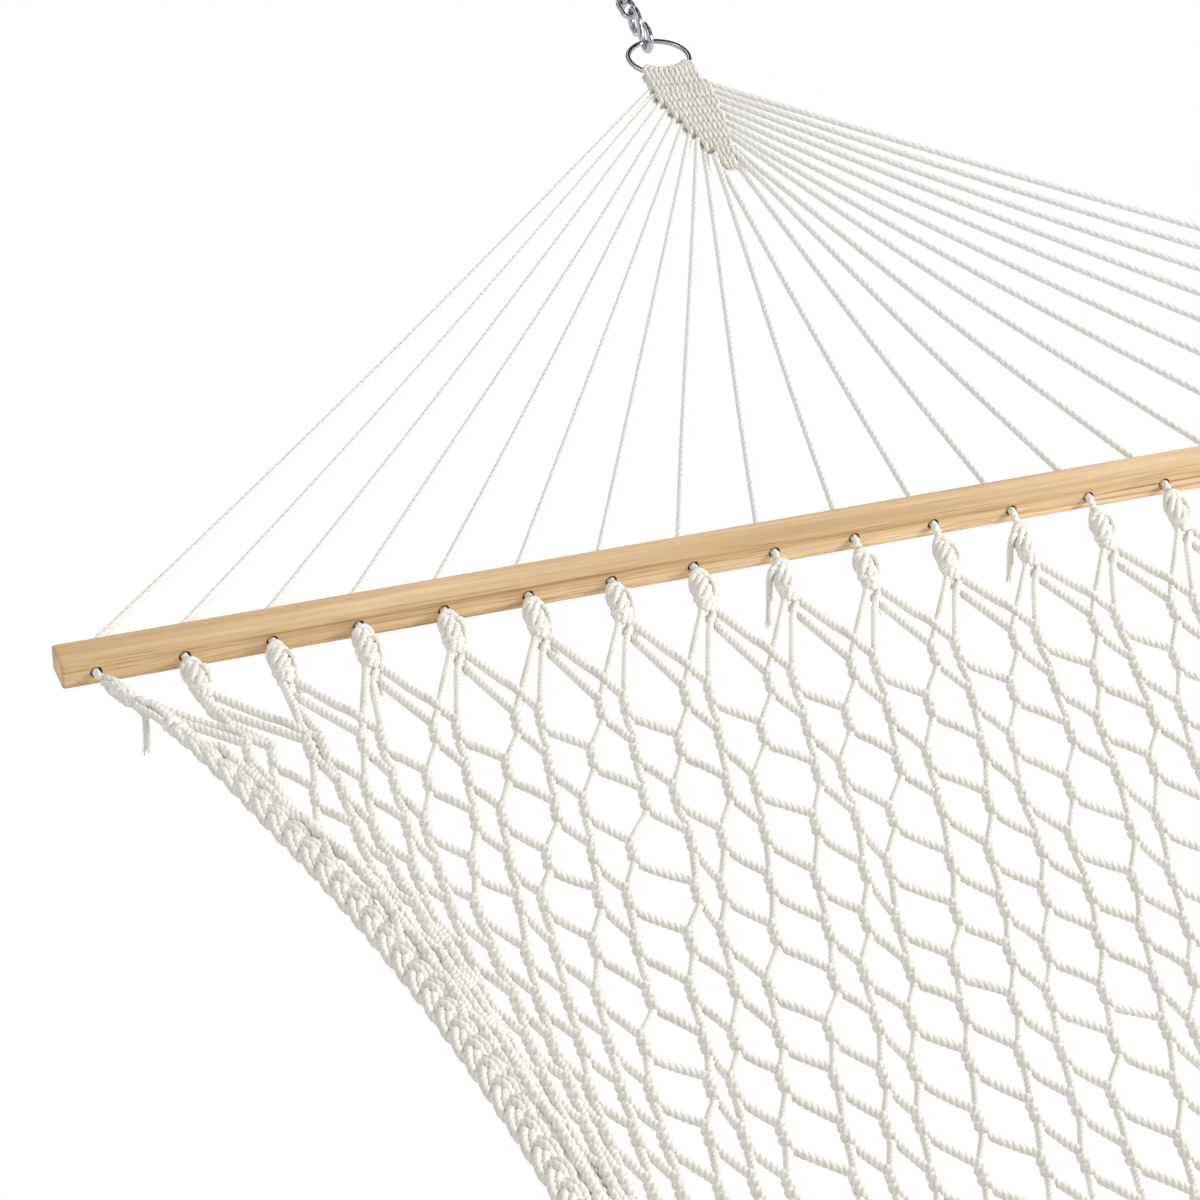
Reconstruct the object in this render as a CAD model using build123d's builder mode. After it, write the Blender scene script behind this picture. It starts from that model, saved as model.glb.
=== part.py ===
from build123d import *
import math
import os

# Rope hammock with two spreader bars, hung from a ring and chain at each end.
# Frame: X along the bars, +Y towards the head end, +Z up. The origin is the plan
# centre of the bed, and Z = 0 is the lowest point of the hanging bed.
# All sizes in millimetres, angles in degrees. Only the head end is modelled:
# the foot end is its half turn about Z.

# ---- spreader bar ----
BAR_LENGTH = 1524.0  # 60 in
BAR_DEPTH = 35.0
BAR_HEIGHT = 22.0
BAR_EDGE_R = 3.0
BAR_END_R = 2.5
BAR_FRONT_Y = 1015.0  # face towards the bed
HOLES = 22
HOLE_PITCH = 70.0
HOLE_D = 10.0
HOLE_X = [(i - (HOLES - 1) / 2) * HOLE_PITCH for i in range(HOLES)]

# ---- bed ----
BED_SAG = 170.0  # bar axis above the middle of the bed
EDGE_SAG = 70.0  # bar axis above the edge ropes at the middle
SHEET_T = 6.0  # thickness of the netted bed
SHEET_INSET = 2.5  # gap between the sheet and the edge rope
SHEET_END_Y = 905.0  # where the mesh ends, counted from the middle
WAIST_HALF = 575.0  # half width of the bed at its middle
BAR_HALF = HOLE_X[-1]  # half width of the bed at the bar: the outermost hole
FLARE = BAR_HALF - WAIST_HALF
FOLD_Y = 200.0  # where the hanging bed folds when it is lifted or packed
FOLD_GAP = 3.0
EDGE_ROPE_R = 10.0
EDGE_ROPE_END_Y = 960.0
ROPE_FOLD_GAP = 1.6  # middle rope to the ball on the end of the next length
ROPE_STEPS = 8

# ---- cords, knots and net strands ----
CORD_R = 3.0
CORD_GAP = 0.1  # cord to bar face
NECK = 9.0  # cord between the bar and the knot's body
KNOT_R = 8.0
KNOT_LENGTH = 36.0
TAIL_R = 2.4
TAIL_GAP = 1.6  # below the knot
TAIL_PLACE = 0.42  # part of the knot's length at which the tail hangs
TAIL_LENGTHS = [27, 36, 22, 31, 38, 25, 33, 20, 29, 35, 24]  # repeated along the bar
STRANDS = 4  # from each knot
STRAND_R = 2.2
STRAND_PITCH = 0.9  # between strand starts at the knot
STRAND_KNOT_GAP = 2.6
STRAND_AIM_GAP = 0.8  # aimed at this far short of the mesh
STRAND_CUT = 3.0  # taken off the far end of each strand
STRAND_INSET = 6  # outermost strand to the edge rope

# ---- ring and strap ----
RING_WIRE_R = 2.5
RING_R = 29.5  # ring centreline radius
RING_Y = 1758.5
RING_RISE = 119.0  # ring centre above the bar axis
STRAP_TOP = 40.0  # strap top edge from the ring centre
STRAP_ROWS = 11
STRAP_ROW = 14.1
STRAP_T = 8.0
STRAP_HALF_TOP = 24.0
STRAP_STEP = 1.45  # the strap loses this half width at each row
CLEW_END_GAP = 1.5  # cord end to the side of the strap
SPLIT_ROW = 6  # from this row on the cords end above and below the strap's plane
SPLIT_LIFT = 3.3
LOOP_R = 6.5  # outside radius of a strap loop on the ring wire
LOOP_GAP = 0.1
LOOP_PITCH = 8.6  # degrees of the ring from one loop to the next
LOOP_ARC = 8  # degrees of the ring covered by one loop

# ---- hook and chain ----
HOOK_WIRE_R = 3.2
HOOK_BEND_R = 11.0
HOOK_SPAN = 34.0  # between the two bend centres
HOOK_TIP = 9.0
HOOK_TIP_FILLET = 0.9
LINK_WIRE_R = 2.5
LINK_END_R = 7.0
LINK_STRAIGHT = 15.0
LINKS = 5
HANG_ANGLE = 12.0  # elevation of the chain
WIRE_GAP = 0.05  # running clearance between wires that hang in each other

# ---- derived places ----
BAR_Z = SHEET_T / 2 + BED_SAG
BAR_Y = BAR_FRONT_Y + BAR_DEPTH / 2
BAR_BACK_Y = BAR_FRONT_Y + BAR_DEPTH
ROLL_Y = BAR_FRONT_Y - CORD_R - CORD_GAP  # axis on which the bar rolls at the bed's knots
CLEW_Y = BAR_BACK_Y + CORD_R + CORD_GAP  # axis on which the clew cords leave the bar


def direction_and_normal(angle):
    """Unit vectors in the YZ plane: along a line at this elevation, and square to it."""
    along = Vector(0, math.cos(angle), math.sin(angle))
    normal = Vector(0, -math.sin(angle), math.cos(angle))
    return along, normal


# the clew runs from bar to ring, the chain from the ring outwards
CLEW_DIR, CLEW_NORMAL = direction_and_normal(math.atan2(RING_RISE, RING_Y - CLEW_Y))
HANG_DIR, HANG_NORMAL = direction_and_normal(math.radians(HANG_ANGLE))

RING_CENTRE = Vector(0, RING_Y, BAR_Z + RING_RISE)
# in this plane +y runs away from the bar, so the strap lies at negative y
CLEW_PLANE = Plane(origin=RING_CENTRE, x_dir=(1, 0, 0), z_dir=CLEW_NORMAL)

RING_FAR = RING_CENTRE + CLEW_DIR * RING_R  # wire centre farthest from the bar
HOOK_NEAR = RING_FAR + HANG_DIR * (HOOK_BEND_R - HOOK_WIRE_R - RING_WIRE_R - WIRE_GAP)
HOOK_FAR = HOOK_NEAR + HANG_DIR * HOOK_SPAN
LINK_LENGTH = 2 * LINK_END_R + LINK_STRAIGHT
LINK_STEP = LINK_LENGTH - 2 * LINK_WIRE_R - WIRE_GAP
FIRST_LINK = HOOK_BEND_R - HOOK_WIRE_R - LINK_WIRE_R - WIRE_GAP  # from HOOK_FAR


# ---- shape of the hanging bed ----
def sagged_z(y, sag):
    return BAR_Z - sag * (1 - (y / BAR_FRONT_Y) ** 2)


def half_width(y):
    return WAIST_HALF + FLARE * (abs(y) / BAR_FRONT_Y) ** 3


def net_z(x, y):
    middle_z = sagged_z(y, BED_SAG)
    return middle_z + (sagged_z(y, EDGE_SAG) - middle_z) * (x / half_width(y)) ** 2


def bed_net(stations):
    """One length of the netted sheet: a trough lofted through sections at these y."""
    with BuildPart() as net:
        for y in stations:
            half = half_width(y) - EDGE_ROPE_R - SHEET_INSET
            middle_z = sagged_z(y, BED_SAG)
            low, high = middle_z - SHEET_T / 2, middle_z + SHEET_T / 2
            rise = net_z(half, y) - middle_z
            with BuildSketch(Plane.XZ.offset(-y)):
                with BuildLine():
                    ThreePointArc((-half, low + rise), (0, low), (half, low + rise))
                    ThreePointArc((-half, high + rise), (0, high), (half, high + rise))
                    Line((-half, low + rise), (-half, high + rise))
                    Line((half, low + rise), (half, high + rise))
                make_face()
        loft()
    return net.part


def edge_rope(side, start_y, end_y, ball=False):
    """Edge rope at side +1 (+X) or -1, with an optional ball round its start."""
    ys = [start_y + (end_y - start_y) * k / ROPE_STEPS for k in range(ROPE_STEPS + 1)]
    points = [(side * half_width(y), y, sagged_z(y, EDGE_SAG)) for y in ys]
    with BuildPart() as rope:
        with BuildLine() as path:
            Spline(*points)
        with BuildSketch(Plane(origin=path.line @ 0, z_dir=path.line % 0)):
            Circle(EDGE_ROPE_R)
        sweep()
        if ball:
            with Locations(points[0]):
                Sphere(EDGE_ROPE_R)
    return rope.part


# ---- knots, cord tails and net strands between bar and mesh ----
def bed_direction(x):
    """Direction from the bar towards the bed, at a hole."""
    across = (x / BAR_HALF) ** 2
    slope = 2 * (BED_SAG + (EDGE_SAG - BED_SAG) * across) / BAR_FRONT_Y
    # the outermost knots lean inwards, along the edge ropes
    lean = 3 * FLARE / BAR_FRONT_Y * (abs(x) / BAR_HALF) ** 10
    return Vector(-math.copysign(lean, x), -1, -slope).normalized()


def towards_bed(x, distance):
    return Vector(x, ROLL_Y, BAR_Z) + bed_direction(x) * distance


def net_knots():
    """At each hole a ball seat, a neck and the knot's body, revolved as one."""
    knot_end = NECK + KNOT_LENGTH
    diagonal = CORD_R * math.cos(math.pi / 4)
    with BuildPart() as knots:
        for x in HOLE_X:
            seat = Vector(x, ROLL_Y, BAR_Z)
            along = bed_direction(x)
            knot_plane = Plane(origin=seat, x_dir=along, z_dir=Vector(0, 0, 1).cross(along))
            with BuildSketch(knot_plane):
                with BuildLine():
                    Line((-CORD_R, 0), (knot_end, 0))
                    ThreePointArc((-CORD_R, 0), (-diagonal, diagonal), (0, CORD_R))
                    Line((0, CORD_R), (NECK, CORD_R))
                    Spline(
                        (NECK, CORD_R),
                        (NECK + 0.22 * KNOT_LENGTH, KNOT_R * 0.92),
                        (NECK + 0.5 * KNOT_LENGTH, KNOT_R),
                        (NECK + 0.82 * KNOT_LENGTH, KNOT_R * 0.8),
                        (knot_end, CORD_R),
                    )
                    Line((knot_end, CORD_R), (knot_end, 0))
                make_face()
            revolve(axis=Axis(seat, along))
    return knots.part


def cord_tails():
    """Hanging ends of the knotted cords."""
    with BuildPart() as tails:
        for i, x in enumerate(HOLE_X):
            knot = towards_bed(x, NECK + TAIL_PLACE * KNOT_LENGTH)
            top = (x, knot.Y, knot.Z - KNOT_R - TAIL_GAP)
            with BuildSketch(Plane(origin=top, x_dir=(1, 0, 0), z_dir=(0, 0, -1))):
                Circle(TAIL_R)
            extrude(amount=TAIL_LENGTHS[i % len(TAIL_LENGTHS)])
    return tails.part


def net_loops():
    """The net's first strands, spread from the knots over the width of the mesh."""
    spread = half_width(SHEET_END_Y) - EDGE_ROPE_R - STRAND_INSET
    with BuildPart() as loops:
        for i, x in enumerate(HOLE_X):
            knot_end = towards_bed(x, NECK + KNOT_LENGTH + STRAND_KNOT_GAP)
            for j in range(STRANDS):
                start = knot_end + Vector((j - (STRANDS - 1) / 2) * STRAND_PITCH, 0, 0)
                end_x = -spread + 2 * spread * (STRANDS * i + j) / (STRANDS * HOLES - 1)
                end = Vector(end_x, SHEET_END_Y + STRAND_AIM_GAP, net_z(end_x, SHEET_END_Y))
                with BuildSketch(Plane(origin=start, z_dir=end - start)):
                    Circle(STRAND_R)
                extrude(amount=(end - start).length - STRAND_CUT)
    return loops.part


# ---- spreader bar and the cords through it ----
def spreader_bar():
    with BuildPart() as bar:
        with BuildSketch(Plane.YZ.offset(-BAR_LENGTH / 2)):
            with Locations((BAR_Y, BAR_Z)):
                RectangleRounded(BAR_DEPTH, BAR_HEIGHT, BAR_EDGE_R)
        extrude(amount=BAR_LENGTH)
        fillet(bar.faces().filter_by(Axis.X).edges(), radius=BAR_END_R)
        # the hole cutters stand 1 mm clear of both faces
        with BuildSketch(Plane.XZ.offset(-BAR_BACK_Y - 1)):
            with Locations(*[(x, BAR_Z) for x in HOLE_X]):
                Circle(HOLE_D / 2)
        extrude(amount=BAR_DEPTH + 2, mode=Mode.SUBTRACT)
    return bar.part


def bore_cords():
    """Cord lengths inside the bar's holes."""
    with BuildPart() as cords:
        with BuildSketch(Plane.XZ.offset(-BAR_BACK_Y)):
            with Locations(*[(x, BAR_Z) for x in HOLE_X]):
                Circle(CORD_R)
        extrude(amount=BAR_DEPTH)
    return cords.part


# ---- clew: woven strap and its cords ----
def strap_half(row):
    return STRAP_HALF_TOP - STRAP_STEP * row


def woven_strap():
    """Flat strap, stepped narrower at each row towards the bar."""
    outline = []
    for row in range(STRAP_ROWS):
        row_top = STRAP_TOP + row * STRAP_ROW
        outline += [(strap_half(row), -row_top), (strap_half(row), -row_top - STRAP_ROW)]
    outline += [(-x, y) for x, y in reversed(outline)]
    with BuildPart() as strap:
        with BuildSketch(CLEW_PLANE.offset(-STRAP_T / 2)):
            with BuildLine():
                Polyline(*outline, close=True)
            make_face()
        extrude(amount=STRAP_T)
    return strap.part


def clew_cords():
    """One cord from each hole to its own row of the strap, the outermost to the top row."""
    with BuildPart() as cords:
        for i, x in enumerate(HOLE_X):
            row = min(i, HOLES - 1 - i)
            side = -1 if i < HOLES // 2 else 1
            lift = 0.0
            if row >= SPLIT_ROW:
                lift = SPLIT_LIFT if row % 2 else -SPLIT_LIFT
            start = Vector(x, CLEW_Y, BAR_Z)
            end = (
                RING_CENTRE
                - CLEW_DIR * (STRAP_TOP + (row + 0.5) * STRAP_ROW)
                + Vector(side * (strap_half(row) + CLEW_END_GAP), 0, 0)
                + CLEW_NORMAL * lift
            )
            with BuildSketch(Plane(origin=start, z_dir=end - start)):
                Circle(CORD_R)
            extrude(amount=(end - start).length)
            with Locations(start):
                Sphere(CORD_R)
    return cords.part


# ---- ring and the strap loops round its wire ----
def ring():
    with BuildPart(CLEW_PLANE) as torus:
        Torus(RING_R, RING_WIRE_R)
    return torus.part


def ring_loops():
    with BuildPart() as loops:
        for k in range(STRAP_ROWS):
            # each loop starts half its arc before its middle
            start = math.radians((k - (STRAP_ROWS - 1) / 2) * LOOP_PITCH - LOOP_ARC / 2)
            radial = CLEW_DIR * -math.cos(start) + Vector(math.sin(start), 0, 0)
            section = Plane(origin=RING_CENTRE, x_dir=radial, z_dir=radial.cross(CLEW_NORMAL))
            with BuildSketch(section):
                with Locations((RING_R, 0)):
                    Circle(LOOP_R)
                    Circle(RING_WIRE_R + LOOP_GAP, mode=Mode.SUBTRACT)
            revolve(axis=Axis(RING_CENTRE, CLEW_NORMAL), revolution_arc=LOOP_ARC)
    return loops.part


# ---- S-hook and chain ----
def s_hook():
    """Two opposite bends with open, rounded tips."""
    bend = HOOK_BEND_R
    near_tip = (HOOK_TIP, bend)
    far_tip = (HOOK_SPAN - HOOK_TIP, -bend)
    hook_plane = Plane(origin=HOOK_NEAR, x_dir=HANG_DIR, z_dir=(1, 0, 0))
    with BuildPart() as hook:
        with BuildLine(hook_plane) as path:
            Line(near_tip, (0, bend))
            ThreePointArc((0, bend), (-bend, 0), (0, -bend))
            Spline((0, -bend), (HOOK_SPAN, bend), tangents=((1, 0), (1, 0)))
            ThreePointArc((HOOK_SPAN, bend), (HOOK_SPAN + bend, 0), (HOOK_SPAN, -bend))
            Line((HOOK_SPAN, -bend), far_tip)
        with BuildSketch(Plane(origin=path.line @ 0, z_dir=path.line % 0)):
            Circle(HOOK_WIRE_R)
        sweep()
        # round only the wire's end circles, not the seams between its lengths
        tip_centres = [hook_plane.from_local_coords(Vector(*p, 0)) for p in (near_tip, far_tip)]
        tips = [
            edge
            for edge in hook.edges().filter_by(GeomType.CIRCLE)
            if abs(edge.length - 2 * math.pi * HOOK_WIRE_R) < 0.1
            and min((edge.arc_center - centre).length for centre in tip_centres) < 0.1
        ]
        fillet(tips, radius=HOOK_TIP_FILLET)
    return hook.part


def chain_link(k):
    """Link k of the chain, a quarter turn from the last."""
    near_end = HOOK_FAR + HANG_DIR * (FIRST_LINK + k * LINK_STEP)
    normal = HANG_NORMAL if k % 2 == 0 else Vector(1, 0, 0)
    bend = LINK_END_R
    far_x = LINK_END_R + LINK_STRAIGHT
    with BuildPart() as link:
        with BuildLine(Plane(origin=near_end, x_dir=HANG_DIR, z_dir=normal)) as path:
            ThreePointArc((bend, -bend), (0, 0), (bend, bend))
            Line((bend, bend), (far_x, bend))
            ThreePointArc((far_x, bend), (LINK_LENGTH, 0), (far_x, -bend))
            Line((far_x, -bend), (bend, -bend))
        with BuildSketch(Plane(origin=path.line @ 0, z_dir=path.line % 0)):
            Circle(LINK_WIRE_R)
        sweep()
    return link.part


# ---- write the pieces ----
def save(name, part):
    part.label = name
    export_step(part, "parts/" + name + ".step")


def save_ends(head_name, foot_name, part):
    """Save a head piece, and its half turn about Z as the foot piece."""
    save(head_name, part)
    with BuildPart() as foot:
        add(part, rotation=(0, 0, 180))
    save(foot_name, foot.part)


os.makedirs("parts", exist_ok=True)

sheet_mid_y = FOLD_Y - FOLD_GAP / 2
rope_mid_y = FOLD_Y - EDGE_ROPE_R - ROPE_FOLD_GAP
save("bed_net_middle", bed_net((-sheet_mid_y, 0, sheet_mid_y)))
save("right_edge_rope_middle", edge_rope(1, -rope_mid_y, rope_mid_y))
save("left_edge_rope_middle", edge_rope(-1, -rope_mid_y, rope_mid_y))

head_net = bed_net((FOLD_Y + FOLD_GAP / 2, 380, 560, 735, SHEET_END_Y))
save_ends("bed_net_head", "bed_net_foot", head_net)
# the half turn swaps left and right, so each edge rope keeps its own side
for side, head_side, foot_side in ((1, "right", "left"), (-1, "left", "right")):
    rope = edge_rope(side, FOLD_Y, EDGE_ROPE_END_Y, ball=True)
    save_ends(head_side + "_edge_rope_head", foot_side + "_edge_rope_foot", rope)

end_pieces = {
    "net_knots": net_knots(),
    "cord_tails": cord_tails(),
    "net_loops": net_loops(),
    "spreader_bar": spreader_bar(),
    "bore_cords": bore_cords(),
    "clew_cords": clew_cords(),
    "woven_strap": woven_strap(),
    "ring": ring(),
    "ring_loops": ring_loops(),
    "s_hook": s_hook(),
}
for k in range(LINKS):
    end_pieces[f"chain_link_{k + 1}"] = chain_link(k)
for name, part in end_pieces.items():
    save_ends("head_" + name, "foot_" + name, part)
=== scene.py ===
import math

import bpy
import numpy as np
from mathutils import Matrix, Vector


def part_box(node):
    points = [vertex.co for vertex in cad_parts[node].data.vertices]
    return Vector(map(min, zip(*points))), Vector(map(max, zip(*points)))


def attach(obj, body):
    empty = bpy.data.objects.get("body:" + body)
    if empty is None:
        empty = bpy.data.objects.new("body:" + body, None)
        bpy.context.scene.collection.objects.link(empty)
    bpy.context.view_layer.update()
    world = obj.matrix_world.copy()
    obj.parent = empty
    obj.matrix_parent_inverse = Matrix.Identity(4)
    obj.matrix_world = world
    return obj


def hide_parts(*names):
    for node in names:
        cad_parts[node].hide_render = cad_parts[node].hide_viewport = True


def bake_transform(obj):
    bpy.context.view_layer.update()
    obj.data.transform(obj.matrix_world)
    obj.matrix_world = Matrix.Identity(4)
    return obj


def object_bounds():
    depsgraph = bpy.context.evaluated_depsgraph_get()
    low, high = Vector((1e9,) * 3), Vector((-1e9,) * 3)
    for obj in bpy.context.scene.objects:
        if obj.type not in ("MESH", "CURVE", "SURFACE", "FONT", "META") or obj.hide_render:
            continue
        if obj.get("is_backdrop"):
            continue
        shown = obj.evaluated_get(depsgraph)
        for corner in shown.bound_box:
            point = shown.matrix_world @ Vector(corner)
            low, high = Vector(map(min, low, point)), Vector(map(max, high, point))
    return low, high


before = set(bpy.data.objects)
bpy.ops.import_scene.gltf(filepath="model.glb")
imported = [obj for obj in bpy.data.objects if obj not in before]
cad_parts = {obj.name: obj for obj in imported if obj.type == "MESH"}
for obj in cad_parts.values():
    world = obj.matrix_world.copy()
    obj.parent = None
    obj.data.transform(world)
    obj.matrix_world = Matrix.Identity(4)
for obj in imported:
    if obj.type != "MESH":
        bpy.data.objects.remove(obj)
cad_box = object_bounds()
net_random = np.random.default_rng(20)

# ---------------------------------------------------------------- sizes
MM = 0.001
X_AXIS = np.array([1.0, 0, 0])
Z_AXIS = np.array([0, 0, 1.0])
HALF_TURN = np.array([-1, -1, 1.0])
TURN = {"head": np.ones(3), "foot": HALF_TURN}
SIGN = {"head": 1, "foot": -1}

bar_low, bar_high = (np.array(v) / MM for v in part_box("head_spreader_bar"))
BAR_INNER, BAR_OUTER = bar_low[1], bar_high[1]
BAR_Z = 0.5 * (bar_low[2] + bar_high[2])
MOUTH_GAP = 3.1  # from a bar face to where cords leave its holes
BED_Y = BAR_INNER - MOUTH_GAP
CLEW_Y = BAR_OUTER + MOUTH_GAP
HOLES = 22
HOLE_PITCH = 70.0
HOLE_X = (np.arange(HOLES) - (HOLES - 1) / 2) * HOLE_PITCH
CORNER_HOLES = (0, HOLES - 1)

WAIST, FLARE = 575.0, 160.0  # the bed's half width at its middle, and what the bar adds
BAR_REACH = WAIST + FLARE
BED_SAG, EDGE_SAG = 170.0, 70.0

ring_low, ring_high = (np.array(v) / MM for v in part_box("head_ring"))
RING_CENTRE = 0.5 * (ring_low + ring_high)
RING_RADIUS, RING_WIRE = 29.5, 2.5
rise_angle = math.atan2(RING_CENTRE[2] - BAR_Z, RING_CENTRE[1] - CLEW_Y)
STRAP_UP = np.array([0, math.cos(rise_angle), math.sin(rise_angle)])  # from bar to ring
STRAP_OUT = np.array([0, -math.sin(rise_angle), math.cos(rise_angle)])  # off its upper face

NET_RADIUS, CORD_RADIUS = 3.65, 3.2
NET_LAY = 15.2  # length in which a net rope's strands turn once


# ---------------------------------------------------------------- shape of the bed
def norm(v):
    return v / np.maximum(np.linalg.norm(v, axis=-1, keepdims=True), 1e-9)


def smooth_step(x, start, stop):
    t = np.clip((np.asarray(x, float) - start) / (stop - start), 0, 1)
    return t * t * (3 - 2 * t)


def half_width(y):
    return WAIST + FLARE * (np.abs(np.asarray(y, float)) / BAR_INNER) ** 3


def sagging_z(sag, y):
    return BAR_Z - sag * (1 - (np.asarray(y, float) / BAR_INNER) ** 2)


def net_z(x, y):
    bed, edge = sagging_z(BED_SAG, y), sagging_z(EDGE_SAG, y)
    return bed + (edge - bed) * (np.asarray(x) / half_width(y)) ** 2 + 1.5


def edge_line(side, y, inset=4.0, rise=2.0):
    """Centre of the edge rope on the side -1 or 1."""
    return np.stack([side * (half_width(y) - inset), y, sagging_z(EDGE_SAG, y) + rise], -1)


# ---------------------------------------------------------------- shader helpers
class Shader:
    """Adds nodes to a tree. An input is given as a value or as the socket that feeds it."""

    def __init__(self, tree):
        self.tree = tree

    def set(self, node, inputs):
        for key, value in inputs.items():
            if isinstance(value, bpy.types.NodeSocket):
                self.tree.links.new(value, node.inputs[key])
            else:
                node.inputs[key].default_value = value

    def add(self, kind, inputs=None, **properties):
        node = self.tree.nodes.new(kind)
        for key, value in properties.items():
            setattr(node, key, value)
        self.set(node, inputs or {})
        return node

    def position(self, kind="Object"):
        return self.add("ShaderNodeTexCoord").outputs[kind]

    def attribute(self, name):
        return self.add("ShaderNodeAttribute", attribute_name=name).outputs["Fac"]

    def camera_ray(self):
        return self.add("ShaderNodeLightPath").outputs["Is Camera Ray"]

    def math(self, operation, a, b=0.0, clamp=False):
        node = self.add("ShaderNodeMath", {0: a, 1: b}, operation=operation, use_clamp=clamp)
        return node.outputs[0]

    def times(self, a, b, clamp=False):
        return self.math("MULTIPLY", a, b, clamp)

    def plus(self, a, b):
        return self.math("ADD", a, b)

    def mix(self, factor, a, b):
        a, b = ((*c, 1) if isinstance(c, tuple) else c for c in (a, b))
        return self.add("ShaderNodeMix", {0: factor, 6: a, 7: b}, data_type="RGBA").outputs[2]

    def mix_shader(self, factor, a, b):
        return self.add("ShaderNodeMixShader", {0: factor, 1: a, 2: b}).outputs[0]

    def noise(self, vector, scale=1.0, detail=3.0, roughness=0.5, stretch=None):
        if stretch is not None:
            vector = self.add("ShaderNodeMapping", {"Scale": stretch, "Vector": vector}).outputs[0]
        inputs = {"Scale": scale, "Detail": detail, "Roughness": roughness, "Vector": vector}
        return self.add("ShaderNodeTexNoise", inputs).outputs["Fac"]

    def ramp(self, factor, stops):
        node = self.add("ShaderNodeValToRGB", {0: factor})
        elements = node.color_ramp.elements
        while len(elements) < len(stops):
            elements.new(0.5)
        for element, (position, color) in zip(elements, stops):
            element.position = position
            element.color = (*color, 1)
        return node.outputs[0]

    def bump(self, height, strength, distance):
        inputs = {"Strength": strength, "Distance": distance, "Height": height}
        return self.add("ShaderNodeBump", inputs).outputs[0]


BLACK, WHITE = (0, 0, 0), (1, 1, 1)


def new_material(name):
    material = bpy.data.materials.new(name)
    material.use_nodes = True
    tree = material.node_tree
    return material, Shader(tree), tree.nodes["Principled BSDF"]


def darker(color, factor):
    return tuple(factor * v for v in color)


# ---------------------------------------------------------------- materials
def rope_material(name, light, groove_shade_color, warm, warm_amount=0.35, groove_shade=0.6):
    """Cotton with painted groove shade from a mesh attribute, warmed by its tone attribute."""
    material, sh, surface = new_material(name)
    position = sh.position()
    blotches = sh.noise(position, scale=26.0, detail=4.0, roughness=0.6)
    patch = sh.ramp(blotches, [(0.42, BLACK), (0.72, WHITE)])
    color = sh.mix(sh.times(patch, warm_amount), light, warm)
    fibre = sh.noise(position, scale=1400.0, detail=2.0, roughness=0.6)
    color = sh.mix(sh.times(fibre, 0.22), color, darker(light, 0.80))
    color = sh.mix(sh.times(sh.attribute("tone"), 0.5), color, darker(warm, 0.86))
    # painted shade: the grooves between the strands are darkened towards the groove colour
    groove_shade_mask = sh.math("POWER", sh.attribute("groove_shade"), 1.35)
    color = sh.mix(sh.times(groove_shade_mask, groove_shade, clamp=True), color, groove_shade_color)
    sh.set(surface, {
        "Base Color": color,
        "Roughness": 0.9,
        "Sheen Weight": 0.08,
        "Sheen Roughness": 0.5,
        "Specular IOR Level": 0.2,
        "Normal": sh.bump(fibre, strength=0.35, distance=0.0004),
    })
    return material


def oak_material():
    material, sh, surface = new_material("oak_spreader")
    position = sh.position()
    # noise stretched along X, the grain's direction
    wide = sh.noise(position, detail=4.0, roughness=0.55, stretch=(1.6, 34, 60))
    grain = sh.noise(position, detail=6.0, roughness=0.65, stretch=(5, 170, 260))
    fine = sh.noise(position, detail=3.0, roughness=0.6, stretch=(18, 900, 1200))
    bands = sh.noise(position, detail=3.0, roughness=0.5, stretch=(3.4, 110, 420))
    color = sh.ramp(wide, [
        (0.32, (0.60, 0.385, 0.19)),
        (0.50, (0.74, 0.515, 0.28)),
        (0.68, (0.85, 0.635, 0.39)),
    ])
    lines = sh.ramp(grain, [(0.36, WHITE), (0.60, BLACK)])
    color = sh.mix(sh.times(lines, 0.34), color, (0.47, 0.28, 0.125))
    # the long faces that look along Y show cut pores and darker streaks
    normal = sh.add("ShaderNodeNewGeometry").outputs["Normal"]
    normal_y = sh.add("ShaderNodeSeparateXYZ", {0: normal}).outputs[1]
    facing = sh.math("ABSOLUTE", normal_y)
    pores = sh.ramp(fine, [(0.30, WHITE), (0.47, BLACK)])
    pores = sh.times(pores, sh.plus(sh.times(facing, 0.45), 0.3))
    color = sh.mix(pores, color, (0.25, 0.13, 0.052))
    streaks = sh.ramp(bands, [(0.56, BLACK), (0.70, WHITE)])
    streaks = sh.times(streaks, sh.plus(sh.times(facing, 0.62), 0.16))
    color = sh.mix(streaks, color, (0.33, 0.185, 0.085))
    sh.set(surface, {
        "Base Color": color,
        "Roughness": sh.plus(sh.times(grain, 0.2), 0.36),
        "Specular IOR Level": 0.4,
        "Normal": sh.bump(sh.math("SUBTRACT", 1.0, pores), strength=0.3, distance=0.0004),
    })
    return material


def metal_material(name, color, roughness, speckle, roughness_spread):
    material, sh, surface = new_material(name)
    position = sh.position()
    cloud = sh.noise(position, scale=160.0, detail=4.0, roughness=0.6)
    ripple = sh.noise(position, scale=700.0, detail=2.0)
    sh.set(surface, {
        "Base Color": sh.mix(sh.times(cloud, speckle), color, darker(color, 0.55)),
        "Metallic": 1.0,
        "Roughness": sh.plus(sh.times(cloud, roughness_spread), roughness),
        "Normal": sh.bump(ripple, strength=0.08, distance=0.0002),
    })
    return material


# each cotton's second colour is the painted shade in its grooves
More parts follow.
